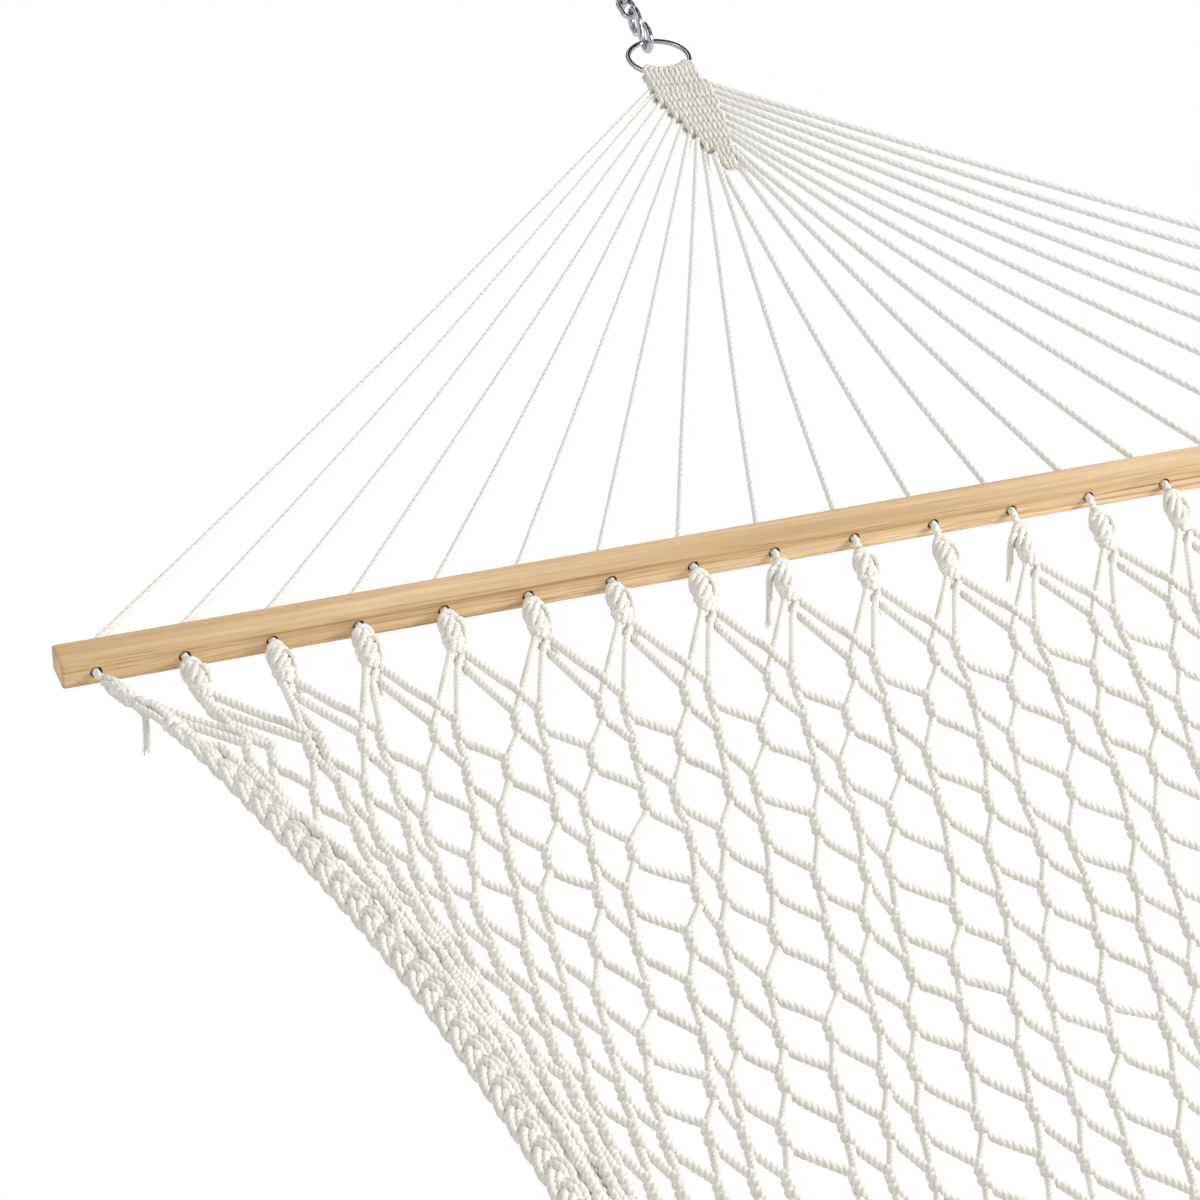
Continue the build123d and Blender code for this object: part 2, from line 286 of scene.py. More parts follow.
NET_COTTON = rope_material(
    "cotton_net_rope", light=(0.92, 0.90, 0.85), groove_shade_color=(0.66, 0.62, 0.545),
    warm=(0.86, 0.80, 0.71))
EDGE_COTTON = rope_material(
    "cotton_edge_plait", light=(0.91, 0.885, 0.825), groove_shade_color=(0.60, 0.555, 0.475),
    warm=(0.85, 0.785, 0.69), groove_shade=0.55)
CORD_COTTON = rope_material(
    "cotton_clew_cord", light=(0.92, 0.905, 0.875), groove_shade_color=(0.66, 0.635, 0.595),
    warm=(0.86, 0.82, 0.76), warm_amount=0.2)
STRAP_COTTON = rope_material(
    "cotton_woven_strap", light=(0.85, 0.83, 0.775), groove_shade_color=(0.42, 0.395, 0.33),
    warm=(0.74, 0.69, 0.60), warm_amount=0.45, groove_shade=0.75)
OAK = oak_material()
CHROME = metal_material(
    "chromed_ring", color=(0.50, 0.50, 0.51), roughness=0.06, speckle=0.15,
    roughness_spread=0.08)
ZINC = metal_material(
    "zinc_plated_steel", color=(0.60, 0.61, 0.64), roughness=0.17, speckle=0.35,
    roughness_spread=0.16)


# ---------------------------------------------------------------- paths
def travelled(path):
    """Length along the path at each of its points."""
    return np.r_[0, np.cumsum(np.linalg.norm(np.diff(path, axis=0), axis=1))]


def resample(path, step, radii=None):
    """The path at even steps, with its radii if they are given."""
    length = travelled(path)
    count = max(5, int(round(length[-1] / step)) + 1)
    even = np.linspace(0, length[-1], count)
    points = np.stack([np.interp(even, length, path[:, axis]) for axis in range(3)], 1)
    return points if radii is None else (points, np.interp(even, length, radii))


def spline(points, step, per=10):
    """Catmull-Rom through the points, resampled evenly."""
    p = np.array(points, float)
    p = np.vstack([2 * p[0] - p[1], p, 2 * p[-1] - p[-2]])
    t = np.linspace(0, 1, per, endpoint=False)[:, None]
    out = []
    for a, b, c, d in zip(p, p[1:], p[2:], p[3:]):
        square, cube = 2 * a - 5 * b + 4 * c - d, -a + 3 * b - 3 * c + d
        out.append(0.5 * ((2 * b) + (-a + c) * t + square * t**2 + cube * t**3))
    out.append(p[-2:-1])
    return resample(np.vstack(out), step)


def relax(path):
    path = np.array(path, float)
    for _ in range(3):
        path[1:-1] = 0.25 * path[:-2] + 0.5 * path[1:-1] + 0.25 * path[2:]
    return path


def coil(start, axes, along, radius, angle, flat=1.0):
    """Points round an axis; axes are its direction and the directions of 0 and 90 degrees."""
    axis, across, up = axes
    ring = np.cos(angle)[:, None] * across + np.sin(angle)[:, None] * up * flat
    return start + axis * along[:, None] + radius[:, None] * ring


# ---------------------------------------------------------------- rope meshes
# Cross-sections of three lobes: point angles in degrees, then for the points of a lobe
# after its groove, their share of the radius and their groove shade.
COARSE = ([0, 38, 82, 120, 158, 202, 240, 278, 322], [1, 1], [0, 0])
FINE = (
    [0, 26, 60, 94, 120, 146, 180, 214, 240, 266, 300, 334],
    [0.95, 1.03, 0.95],
    [0.12, 0, 0.12],
)


class Ropes:
    """Laid ropes gathered into one mesh. With end="foot" they are turned half round Z."""

    def __init__(self, end="head"):
        self.turn = TURN[end]
        self.points, self.quads, self.triangles = [], [], []
        self.groove_shade, self.tone, self.count = [], [], 0

    def tube(self, path, radius, lay, side, depth=0.16, phase=0.0, tone=0.0, section=FINE,
             hand=1.0):
        """A rope along the path; its lobes start towards side and turn once in each lay."""
        path, side = np.asarray(path, float) * self.turn, side * self.turn
        n = len(path)
        radius = np.broadcast_to(np.asarray(radius, float), (n,))
        along = np.empty_like(path)
        along[1:-1] = path[2:] - path[:-2]
        along[0], along[-1] = path[1] - path[0], path[-1] - path[-2]
        along = norm(along)
        across = norm(side - (side * along).sum(1, keepdims=True) * along)
        up = np.cross(along, across)

        degrees, lobe, lobe_groove_shade = section
        angle = np.radians(degrees)[None] + phase
        angle = angle + hand * 2 * np.pi * travelled(path)[:, None] / lay
        reach = (radius[:, None] * np.array([1 - depth, *lobe] * 3)[None])[..., None]
        ring = np.cos(angle)[..., None] * across[:, None] + np.sin(angle)[..., None] * up[:, None]
        points = path[:, None] + reach * ring

        sides = len(degrees)
        base = self.count
        i = np.arange(n - 1)[:, None] * sides
        j = np.arange(sides)[None]
        j1 = (j + 1) % sides
        quads = np.stack([i + j, i + j1, i + sides + j1, i + sides + j], -1)
        self.quads.append(quads.reshape(-1, 4) + base)
        # a fan of triangles closes each end
        j, j1 = j[0], j1[0]
        first, last = base + n * sides, base + (n - 1) * sides
        self.triangles += [
            np.stack([np.full(sides, first), base + j1, base + j], -1),
            np.stack([np.full(sides, first + 1), last + j, last + j1], -1),
        ]
        self.points += [points.reshape(-1, 3), path[:1], path[-1:]]
        # painted shade mask: full at each lobe's groove point, a little beside it, half at the end
        # caps
        self.groove_shade += [np.tile([1.0, *lobe_groove_shade] * 3, n), np.full(2, 0.5)]
        self.tone.append(np.full(n * sides + 2, float(tone)))
        self.count += n * sides + 2

    def make(self, name, material):
        points = np.concatenate(self.points) * MM
        quads = np.concatenate(self.quads).astype(np.int32)
        triangles = np.concatenate(self.triangles).astype(np.int32)
        faces = len(quads) + len(triangles)
        starts = [np.arange(len(quads)) * 4, quads.size + np.arange(len(triangles)) * 3]
        mesh = bpy.data.meshes.new(name)
        mesh.vertices.add(len(points))
        mesh.vertices.foreach_set("co", points.astype(np.float32).ravel())
        mesh.loops.add(quads.size + triangles.size)
        mesh.loops.foreach_set("vertex_index", np.r_[quads.ravel(), triangles.ravel()])
        mesh.polygons.add(faces)
        mesh.polygons.foreach_set("loop_start", np.concatenate(starts).astype(np.int32))
        mesh.update(calc_edges=True)
        mesh.polygons.foreach_set("use_smooth", np.ones(faces, bool))
        for key, values in (("groove_shade", self.groove_shade), ("tone", self.tone)):
            attribute = mesh.attributes.new(key, "FLOAT", "POINT")
            attribute.data.foreach_set("value", np.concatenate(values).astype(np.float32))
        mesh.materials.append(material)
        ob = bpy.data.objects.new(name, mesh)
        bpy.context.scene.collection.objects.link(ob)
        return ob


def blend_along_bed(ob, end, inner_z, outer_z):
    """Bakes the piece's transform into its mesh."""
    inner, outer = (0, SIGN[end] * 0.11, inner_z), (0, SIGN[end] * 0.29, outer_z)
    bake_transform(ob)
    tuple(inner)
    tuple(outer)


# ---------------------------------------------------------------- knots of the net
# Rows run from head to foot, evenly along the sagging bed. Even rows hold KNOTS knots, odd
# rows one fewer. Each row's knots are numbered towards +X.
ROWS = 35
KNOTS = 2 * HOLES
KNOT_PITCH = HOLE_PITCH / 2
FIRST_ROW_Y = 883.0
NOISE_SHAPE = (ROWS, 46)
STRINGS = 130

station_y = np.linspace(-1200, 1200, 4801)
bed_length = np.r_[0, np.cumsum(np.hypot(np.diff(station_y),
                                         np.diff(sagging_z(BED_SAG, station_y))))]
row_ends = np.interp([FIRST_ROW_Y, -FIRST_ROW_Y], station_y, bed_length)
ROW_Y = np.interp(np.linspace(*row_ends, ROWS), bed_length, station_y)


def place(free_x, y):
    """X of a net point from its free place, and how far it is bunched at the edge rope."""
    width = half_width(y) - 10.0
    u = free_x * (1 + 0.03 * smooth_step(np.abs(y), 950, 640)) / width
    x = width * (u / (1 + np.abs(u) ** 8.0) ** (1 / 8.0))
    # near the bar the outermost columns start against the edge rope
    pull = 0.78 * smooth_step(np.abs(u), 1.0, 1.11) * smooth_step(np.abs(y), 690, 850)
    x = x + np.sign(x) * (width - np.abs(x)) * pull
    return x, smooth_step(np.abs(u), 0.93, 1.25)


def smooth_noise(shape, spreads, seed):
    """Noise of unit deviation, blurred along each axis by its spread in cells."""
    values = np.random.default_rng(seed).standard_normal(shape)
    for axis, spread in enumerate(spreads):
        if spread <= 0:
            continue
        n = int(3 * spread) + 1
        kernel = np.exp(-0.5 * (np.arange(-n, n + 1) / spread) ** 2)
        kernel /= kernel.sum()
        values = np.apply_along_axis(
            lambda v: np.convolve(np.pad(v, n, mode="reflect"), kernel, "valid"), axis, values)
    return values / values.std()


# sideways offsets that stay along one diagonal, for the two directions
diagonal_right = np.clip(smooth_noise((STRINGS,), (0.0,), 3), -1.7, 1.7) * 5.0
diagonal_left = np.clip(smooth_noise((STRINGS,), (0.0,), 9), -1.7, 1.7) * 1.6
drift_x = smooth_noise(NOISE_SHAPE, (2.4, 0.0), 4)
drift_y = smooth_noise(NOISE_SHAPE, (1.2, 4.0), 5)
jitter_x = smooth_noise(NOISE_SHAPE, (0.0, 0.0), 6)
jitter_y = smooth_noise(NOISE_SHAPE, (0.0, 0.0), 8)
pairing = np.where(np.arange(KNOTS) % 2 == 1, 1.0, -1.0)
pairing[0] = pairing[-1] = 0.0


def net_row(row):
    """A row's knot centres, their directions along, across and off the net, and bunching."""
    to_end = min(row, ROWS - 1 - row)
    count = KNOTS if row % 2 == 0 else KNOTS - 1
    k = np.arange(count)
    column = k - (count - 1) / 2
    free_x = KNOT_PITCH * column
    if row % 2 == 0:
        # pairs hang closer below each bar knot; the foot end's pairing is the head end's
        # turned half round
        foot_share = smooth_step(row, 0.35 * ROWS, 0.65 * ROWS)
        offset = (1 - foot_share) * pairing - foot_share * pairing[::-1]
        free_x = free_x + offset * 7.5 * np.exp(-to_end / 7.0)
    fade = smooth_step(to_end, -0.5, 5)
    right = np.round(2 * column + row + KNOTS - 1).astype(int)
    left = np.round(2 * column - row + KNOTS - 1 + 36).astype(int)  # 36 keeps it positive
    free_x = free_x + fade * (diagonal_right[right] + diagonal_left[left])
    shift = 9.0 * (np.exp(-row / 4.0) - np.exp(-(ROWS - 1 - row) / 4.0))
    free_x = free_x - shift * (1 - smooth_step(np.abs(free_x), 560, 700))
    free_x = free_x + fade * (1.6 * drift_x[row, :count] + 1.1 * jitter_x[row, :count])
    y = ROW_Y[row] + fade * (3.0 * drift_y[row, :count] + 1.8 * jitter_y[row, :count])
    x, bunch = place(free_x, y)
    y = y + bunch * 9.0 * np.sin(k * 1.7 + 0.5)
    lift = bunch * 5.0 * np.sin(k * 2.4 + 0.35 * row) + bunch * 2.0
    centre = np.stack([x, y, net_z(x, y) + lift], -1)

    before, after = (
        np.stack([place(free_x, near_y)[0], near_y, net_z(place(free_x, near_y)[0], near_y)], -1)
        for near_y in (y + 12, y - 12))
    along = norm(after - before)
    slope = (net_z(x + 5, y) - net_z(x - 5, y)) / 10
    across = np.stack([np.ones(count), np.zeros(count), slope], -1)
    across = norm(across - (across * along).sum(1, keepdims=True) * along)
    lean = math.radians(7.0) * (1 - 0.7 * bunch)[:, None]
    along, across = (along * np.cos(lean) - across * np.sin(lean),
                     across * np.cos(lean) + along * np.sin(lean))
    return centre, along, across, np.cross(along, across), bunch


NET_ROWS = [net_row(row) for row in range(ROWS)]


# ---------------------------------------------------------------- ropes of the net
ROPES = 4 * HOLES
KNOT_LENGTH = 29.0
KNOT_STEPS = np.linspace(0, 1, 22)

# where each bar knot begins, from its hole: long necks hang further off the bar
NECK = np.full(HOLES, 1.5)
for hole, neck in {0: 18, 21: 18, 8: 7, 9: 11, 10: 14, 11: 15, 12: 14, 1: 3, 7: 3, 13: 8}.items():
    NECK[hole] = neck
KNOT_TWIST = net_random.uniform(-0.5, 0.5, (2, HOLES))  # for the head and the foot

# A bar knot sends ropes a and b towards -X and c and d towards +X. Four ropes in turn come
# from two neighbouring holes: steps from the first hole, and the rope's letter.
ROPE_SOURCES = [(0, "c"), (1, "a"), (0, "d"), (1, "b")]
CORNER_ROPES = {0: (0, "a"), 1: (0, "b"), 86: (21, "c"), 87: (21, "d")}
START_DEGREES = {"a": 180, "b": 270, "c": 90, "d": 0}
BULB = ([0, 0.1, 0.32, 0.62, 1.0], [2.2, 3.8, 4.8, 4.4, 3.4])  # share of length, coil radius


def course(start):
    """Each row's knot number (None at an edge) and direction, for the rope in place start.
    Ropes run diagonally; one that enters from the left leaves to the right of each knot."""
    knot, direction = start // 2, (1 if start % 2 == 0 else -1)
    stops = []
    for row in range(ROWS):
        if row % 2 == 0:
            stops.append((knot, direction))
            knot = knot if direction > 0 else knot - 1
        elif 0 <= knot < KNOTS - 1:
            stops.append((knot, direction))
            knot = knot + 1 if direction > 0 else knot
        else:
            stops.append((None, direction))
            direction = -direction
            knot = 0 if direction > 0 else KNOTS - 1
    return stops


def hole_frame(i):
    """The hole's mouth and the knot's axes: down the bed, sideways, and off the bed."""
    x = HOLE_X[i]
    slope = 2 * (BED_SAG + (EDGE_SAG - BED_SAG) * (x / BAR_REACH) ** 2) / BAR_INNER
    lean = 3 * FLARE / BAR_INNER * (abs(x) / BAR_REACH) ** 10
    down = norm(np.array([-math.copysign(lean, x), -1, -slope]))
    if i not in CORNER_HOLES:
        down = norm(down + np.array([-0.09, 0, -0.07]))  # the loose knot hangs a little
    side = norm(np.cross(Z_AXIS, down))
    return np.array([x, BED_Y, BAR_Z]), (down, side, np.cross(down, side))


def end_path(place_number, target, end_index):
    """Points and radii from the bar knot to the first net knot, in the head end's frame."""
    if place_number in CORNER_ROPES:
        i, letter = CORNER_ROPES[place_number]
    else:
        first, turn = divmod(place_number - 2, 4)
        step, letter = ROPE_SOURCES[turn]
        i = first + step
    mouth, axes = hole_frame(i)
    top = NECK[i] - (9 if i in CORNER_HOLES else 0)
    degrees = START_DEGREES[letter]
    t = np.linspace(0.0, 1, 16)
    angle = math.radians(degrees) + (math.pi * 1.15 + KNOT_TWIST[end_index, i]) * (1 - t)
    points = coil(mouth, axes, top + 38 * t, np.interp(t, *BULB), angle)
    radii = np.full(len(t), 2.9)
    if place_number in CORNER_ROPES:
        # the outermost strands run in with the edge rope before they join the net
        side = -1 if i == 0 else 1
        inset, lift = (1.5, 2.0) if place_number in (0, ROPES - 1) else (6.0, -1.0)
        beside = edge_line(side, np.linspace(962, 906, 5))
        beside = beside - X_AXIS * (side * inset) + Z_AXIS * lift
        line = spline([points[-1], *beside, target], 2.0)[1:]
        return np.vstack([points, line]), np.r_[radii, np.full(len(line), NET_RADIUS)]
    if letter in "bc":
        t = np.linspace(0.08, 1, 12)
        angle = np.radians(degrees + 270 * t)
        points = np.vstack([points, coil(mouth, axes, top + 38 + 20 * t, 3.5 - 0.6 * t, angle)])
        radii = np.r_[radii, np.full(len(t), 3.1)]
    t = np.linspace(0, 1, 27)[1:]
    line = points[-1] + (target - points[-1]) * t[:, None]
    if letter in "ad":
        # neighbouring knots' ropes pass over and under each other
        rise = 3.7 if letter == "d" else -3.7
        hump = np.exp(-(((t - 0.74) / 0.13) ** 2)) * (1 - t**6)
        line = line + axes[2] * (rise * hump)[:, None]
    return np.vstack([points, line]), np.r_[radii, np.full(len(t), NET_RADIUS)]


def knot_turns(row, knot, direction):
    """Two ropes turn one and a half times round each other; this is the path of one."""
    centre, along, across, normal, bunch = (values[knot] for values in NET_ROWS[row])
    t = KNOT_STEPS
    swell, plump = (0.57, 0.8) if direction > 0 else (0.33, 0.6)
    radius = (1.6 + swell * np.cos(2 * math.pi * t) ** 2) * (1 - 0.2 * bunch)
    path = coil(centre, (along, across, -normal), (t - 0.5) * KNOT_LENGTH,
                -direction * radius, 3 * math.pi * t)
    return path, NET_RADIUS + plump * np.sin(math.pi * t) ** 0.5 * (1 - bunch)


def edge_turn(row, side):
    """The rope turns back round the edge rope."""
    offsets = np.array([[0, 5, 2.0], [side * 3, 0, 0], [0, -5, -1.0]])
    return edge_line(side, ROW_Y[row], inset=6.0, rise=1.0) + offsets, np.full(3, NET_RADIUS)


def net_path(start):
    """Points and radii of a whole rope, from the head bar's knot to the foot bar's."""
    points, radii = [], []
    t = np.linspace(0, 1, 13)[1:-1]
    stops = course(start)
    for row, (knot, direction) in enumerate(stops):
        if knot is None:
            path, radius = edge_turn(row, direction)
        else:
            path, radius = knot_turns(row, knot, direction)
        if points:
            line = points[-1][-1] + (path[0] - points[-1][-1]) * t[:, None]
            # slack lengths bow a little
            bow = 0.9 * math.sin(start * 3.1 + row * 1.3)
            points.append(line + Z_AXIS * (bow * np.sin(math.pi * t))[:, None])
            radii.append(np.full(len(t), NET_RADIUS))
        points.append(path)
        radii.append(radius)
    head, head_radii = end_path(start, points[0][0], 0)
    knot, direction = stops[-1]
    foot_place = 2 * knot + (1 if direction > 0 else 0)
    foot, foot_radii = end_path(ROPES - 1 - foot_place, points[-1][-1] * HALF_TURN, 1)
    path = np.vstack([head[:-1], *points, (foot * HALF_TURN)[::-1][1:]])
    return relax(path), np.concatenate([head_radii[:-1], *radii, foot_radii[::-1][1:]])


def build_net():
    """The ropes in groups, each cut at Y = 0 into a head and a foot piece."""
    step, group_size = 1.75, 13
    paths = [resample(path, step, radii) for path, radii in map(net_path, range(ROPES))]
    foot_phase = {}
    for end in ("head", "foot"):
        pieces = []
        for first in range(0, ROPES, group_size):
            ropes = Ropes()
            for j in range(first, min(first + group_size, ROPES)):
                path, radii = paths[j]
                middle = np.searchsorted(-path[:, 1], 0.0)  # y falls along the rope
                if end == "head":
                    part = slice(0, middle + 1)
                    phase = net_random.uniform(0, 6.28)
                    turns = travelled(path[part])[-1] / NET_LAY
                    foot_phase[j] = phase + 2 * math.pi * turns
                else:
                    part = slice(middle, None)
                    phase = foot_phase[j]
                ropes.tube(path[part], radii[part], NET_LAY, Z_AXIS, phase=phase,
                           tone=0.5 * abs(math.sin(j * 1.9)))
            ob = ropes.make(f"{end}_net_ropes_{len(pieces) + 1}", NET_COTTON)
            blend_along_bed(ob, end, 0.01, 0.02)
            pieces.append(ob)
        yield pieces[0]


head_piece, foot_piece = build_net()
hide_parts("bed_net_head", "head_net_loops", "bed_net_middle")
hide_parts("bed_net_foot", "foot_net_loops")

# ---------------------------------------------------------------- plaited edge ropes
PLAIT_PITCH = 68.0
PLAIT_END_Y = 930.0


def edge_plait(end, side, word):
    """Three strands of two ropes each, plaited from the bar knot to Y = 0."""
    ropes = Ropes()
    sign = SIGN[end]
    y = np.linspace(PLAIT_END_Y, 0, 640)
    centre = edge_line(side, y)
    sideways = norm(np.cross(norm(np.gradient(centre, axis=0)), Z_AXIS))
    up = np.cross(sideways, norm(np.gradient(centre, axis=0)))
    length = travelled(centre)
    length = length - length[-1]  # the plait's phase is zero at the middle, so both halves meet
    tight = 1 - 0.5 * smooth_step(y, PLAIT_END_Y - 150, PLAIT_END_Y)
    for strand in range(3):
        angle = 2 * math.pi * (length / PLAIT_PITCH + strand / 3)
        swing, heave = sign * 6.8 * np.sin(angle), sign * 3.1 * np.sin(2 * angle)
        middle = centre + sideways * (swing * tight)[:, None] + up * (heave * tight)[:, None]
        beside = norm(np.cross(norm(np.gradient(middle, axis=0)), up))
        for half in (-1, 1):
            path = middle + beside * (half * 2.75 * tight)[:, None] + up * 0.5 * half
            path = resample(path, 2.0) * np.array([1, sign, 1.0])
            ropes.tube(path, 3.4, 15.0, Z_AXIS, depth=0.09, phase=strand + half,
                       tone=0.4 * (strand % 2), hand=sign)
    ob = ropes.make(f"{word}_edge_plait_{end}", EDGE_COTTON)
    blend_along_bed(ob, end, 0.05, 0.06)
    middle_names = [f"{word}_edge_rope_middle"] if end == "head" else []
    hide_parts(f"{word}_edge_rope_{end}", *middle_names)


for end in ("head", "foot"):
    edge_plait(end, -1, "left")
    edge_plait(end, 1, "right")

# ---------------------------------------------------------------- knots at the bar
# share of the knot's length, and how far its strands lie from its axis
KNOT_PROFILE = ([0, 0.06, 0.16, 0.45, 0.78, 1.0], [2.4, 4.0, 5.2, 5.9, 4.9, 2.9])
TAIL_LENGTHS = [24, 20, 26, 34, 36, 30, 28, 33, 38, 40, 34,
                30, 36, 30, 26, 24, 30, 22, 26, 32, 24, 24]
TAILS_TO_LEFT = (8, 11, 16, 19)
TAIL_SIDE = np.array([0, 1.0, 0.2])  # where a tail's lobes start, the same for both ends


def wrap(ropes, centre, axes, radius, turns, rise, tilt, thickness, start, dip=0.42,
         dip_span=0.12, flat=1.0, phase=0.0, tone=0.0):
    """A rope wound round a knot, with its ends dipping inwards."""
    t = np.linspace(0, 1, int(42 * turns))
    angle = start + 2 * math.pi * turns * t
    inward = 1 - smooth_step(t, 0, dip_span) + smooth_step(t, 1 - dip_span, 1)
    path = coil(centre, axes, rise * (t - 0.5) + tilt * np.sin(angle),
                radius * (1 - dip * inward), angle, flat)
    ropes.tube(resample(path, 1.5), thickness, NET_LAY, axes[0], depth=0.12, tone=tone,
               phase=phase)


# In these functions vary holds a hole's eight draws from -1 to 1, which make knots differ.
def bar_knot(ropes, i, vary):
    """Strands run down the knot with a slight twist, and wraps bind them."""
    mouth, axes = hole_frame(i)
    corner = i in CORNER_HOLES
    size, length = (0.74, 27.0) if corner else (1.0, 43.0)
    start = 2.2 + 2.5 * vary[6]
    t = np.linspace(0, 1, 60)
    for q in range(6):
        angle = start + q * math.pi / 3 + 2 * math.pi * (0.62 + 0.15 * vary[7]) * t
        radius = size * np.interp(t, *KNOT_PROFILE) * (1 + 0.07 * math.sin(q * 2.3 + 3 * vary[0]))
        along = NECK[i] + 0.8 + 0.8 * (q % 2) + length * t
        path = coil(mouth, axes, along, radius, angle, flat=0.94)
        ropes.tube(resample(path, 1.5), 3.05, NET_LAY, axes[0], depth=0.12, phase=start + q,
                   tone=0.3 * abs(math.sin(q + 5 * vary[2])))
    # distance down the knot, radius, turns, rise, tilt, rope radius
    if corner:
        wraps = [(8.0, 4.8, 1.15, 2.0, 4.0, 2.9), (19.0, 4.6, 1.1, 2.0, -3.5, 2.8)]
    else:
        wraps = [
            (12.0 + 2 * vary[1], 7.0, 1.12, 3.0, -7.5 + vary[2], 2.9),
            (29.0 + 2 * vary[3], 6.5, 1.1, 2.5, 5.0 + 1.5 * vary[4], 2.9),
            (37.5 + vary[3], 5.2, 1.1, 1.5, -3.5, 2.7),
        ]
    for down, *shape in wraps:
        wrap(ropes, mouth + axes[0] * (NECK[i] + down), axes, *shape, start=start + down,
             flat=0.92, phase=start, tone=0.3 * abs(vary[7]))


def corner_tie(ropes, i):
    """Second knot and doubled cords between the bar knot and the plait."""
    mouth, (down, _, _) = hole_frame(i)
    side = -1 if i == 0 else 1
    tie_y = PLAIT_END_Y + 2
    tie, beyond = edge_line(side, np.array([tie_y, tie_y - 15]))
    top = mouth + down * (NECK[i] + 30)
    along = norm(beyond - top)
    across = norm(np.cross(along, Z_AXIS))
    up = np.cross(across, along)
    for c in (-1, 1):
        middle = 0.5 * (top + tie) + across * 3.3 * c + up * 2.0 * c
        path = spline([top + across * 3.0 * c, middle, tie + across * 3.4 * c,
                       tie + along * 22 + across * 4 * c], 1.6)
        ropes.tube(path, 3.2, NET_LAY, Z_AXIS)
    # distance along, radius, tilt, start angle
    for place_along, radius, tilt, start in (
        (-4.5, 4.4, 3.0, 0.4), (0, 5.0, -4.0, 2.6), (4.5, 4.6, 3.0, 4.5),
    ):
        wrap(ropes, tie + along * place_along, (along, across, up), radius, turns=1.1, rise=2,
             tilt=tilt, thickness=2.9, start=start, dip=0.4, dip_span=0.1)


def loose_tail(ropes, i, vary):
    """The loose end leaves the knot, turns over, hangs and frays."""
    mouth, (down, across, up) = hole_frame(i)
    length = TAIL_LENGTHS[i]
    side = across * (-1 if i in TAILS_TO_LEFT else 1)
    if i in CORNER_HOLES:
        root = mouth + down * (NECK[i] + 30)
        points = [
            root + up * 4.0,
            root + side * 2.0 + up * 5.5 + down * 5,
            root - up * 1.0 + down * 9 - Z_AXIS * 6,
            root + down * 9 - Z_AXIS * (0.6 * length + 8),
            root + across * vary[1] + down * (9 + vary[2]) - Z_AXIS * (length + 10),
        ]
    else:
        root = mouth + down * (NECK[i] + 13 + 3 * vary[3])
        points = [
            root + side * 3,
            root + side * 7.5 + up * 4.5 - down * 1.0,
            root + side * 10.5 + up * 3.0 + down * 2,
            root + side * 11.5 + down * 4 - Z_AXIS * 6,
            root + side * (11.5 + 1.5 * vary[1]) + down * 5 - Z_AXIS * (0.55 * length + 3),
            root + side * (12.0 + 3 * vary[1]) + down * (6 + 2 * vary[2]) - Z_AXIS * length,
        ]
    path = spline(points, 1.6)
    radii = np.full(len(path), 2.95)
    radii[-4:] = [2.9, 2.8, 2.5, 1.9]
    lobe_side = TAIL_SIDE * ropes.turn  # undoes the turn that tube gives it
    ropes.tube(path, radii, NET_LAY, lobe_side, tone=0.4)
    # loose yarns part at the tip
    tip, along = path[-3], norm(path[-1] - path[-4])
    for q in range(7):
        angle = q * 0.9 + vary[3] * 3
        outward = np.array([math.cos(angle), math.sin(angle), 0])
        spread = 1.0 + 0.9 * (q % 3)
        reach = 6 + 1.6 * (q % 4)
        yarn = spline([tip + outward * 0.8,
                       tip + along * reach * 0.5 + outward * (0.8 + 0.5 * spread),
                       tip + along * reach + outward * (0.8 + spread)], 1.2)
        ropes.tube(yarn, np.linspace(0.85, 0.4, len(yarn)), 6.0, lobe_side, depth=0.15,
                   tone=0.5, section=COARSE)


def hole_cord(ropes, i):
    """Cord from the knot into the bar's hole."""
    mouth, (down, _, _) = hole_frame(i)
    path = spline([
        mouth + down * (NECK[i] + 7),
        mouth + down * (NECK[i] * 0.5 + 1) + Z_AXIS * 0.3,
        mouth - down * 0.5,
        mouth + np.array([0, 9, 0]),
        mouth + np.array([0, 21, 0]),
    ], 1.6)
    ropes.tube(path, CORD_RADIUS, 20.0, Z_AXIS, phase=i)


def build_bar_knots(end, seed):
    knots, tails, cords = Ropes(end), Ropes(end), Ropes(end)
    knot_random = np.random.default_rng(seed)
    for i in range(HOLES):
        vary = knot_random.uniform(-1, 1, 8)
        bar_knot(knots, i, vary)
        if i in CORNER_HOLES:
            corner_tie(knots, i)
        loose_tail(tails, i, vary)
        hole_cord(cords, i)
    for ropes, name, replaced in (
        (knots, "bar_knots", "net_knots"), (tails, "loose_tails", "cord_tails"),
    ):
        ob = ropes.make(f"{end}_{name}", NET_COTTON)
        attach(ob, f"bed_{end}")
        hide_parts(f"{end}_{replaced}")
    ob = cords.make(f"{end}_hole_cords", CORD_COTTON)
    inner, outer = ((0, SIGN[end] * y * MM, BAR_Z * MM) for y in (BED_Y - 4, BED_Y + 4))
    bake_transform(ob)
    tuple(inner)
    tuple(outer)
    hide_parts(f"{end}_bore_cords")


build_bar_knots("head", seed=30)
build_bar_knots("foot", seed=31)

# ---------------------------------------------------------------- clew cords and woven strap
STRAP_TOP, STRAP_ROW = 40.0, 14.1  # first row's distance from the ring centre, row height
WARPS = [11, 12, 12, 11, 10, 9, 8, 7, 6, 4, 3]  # in each row, from the ring to the bar
WARP_PITCH = 4.7


def strap_point(x, down, out):
    """A strap point, down from the ring's centre towards the bar and out from the mid-plane."""
    outer = np.multiply.outer
    return RING_CENTRE + outer(x, X_AXIS) - outer(down, STRAP_UP) + outer(out, STRAP_OUT)


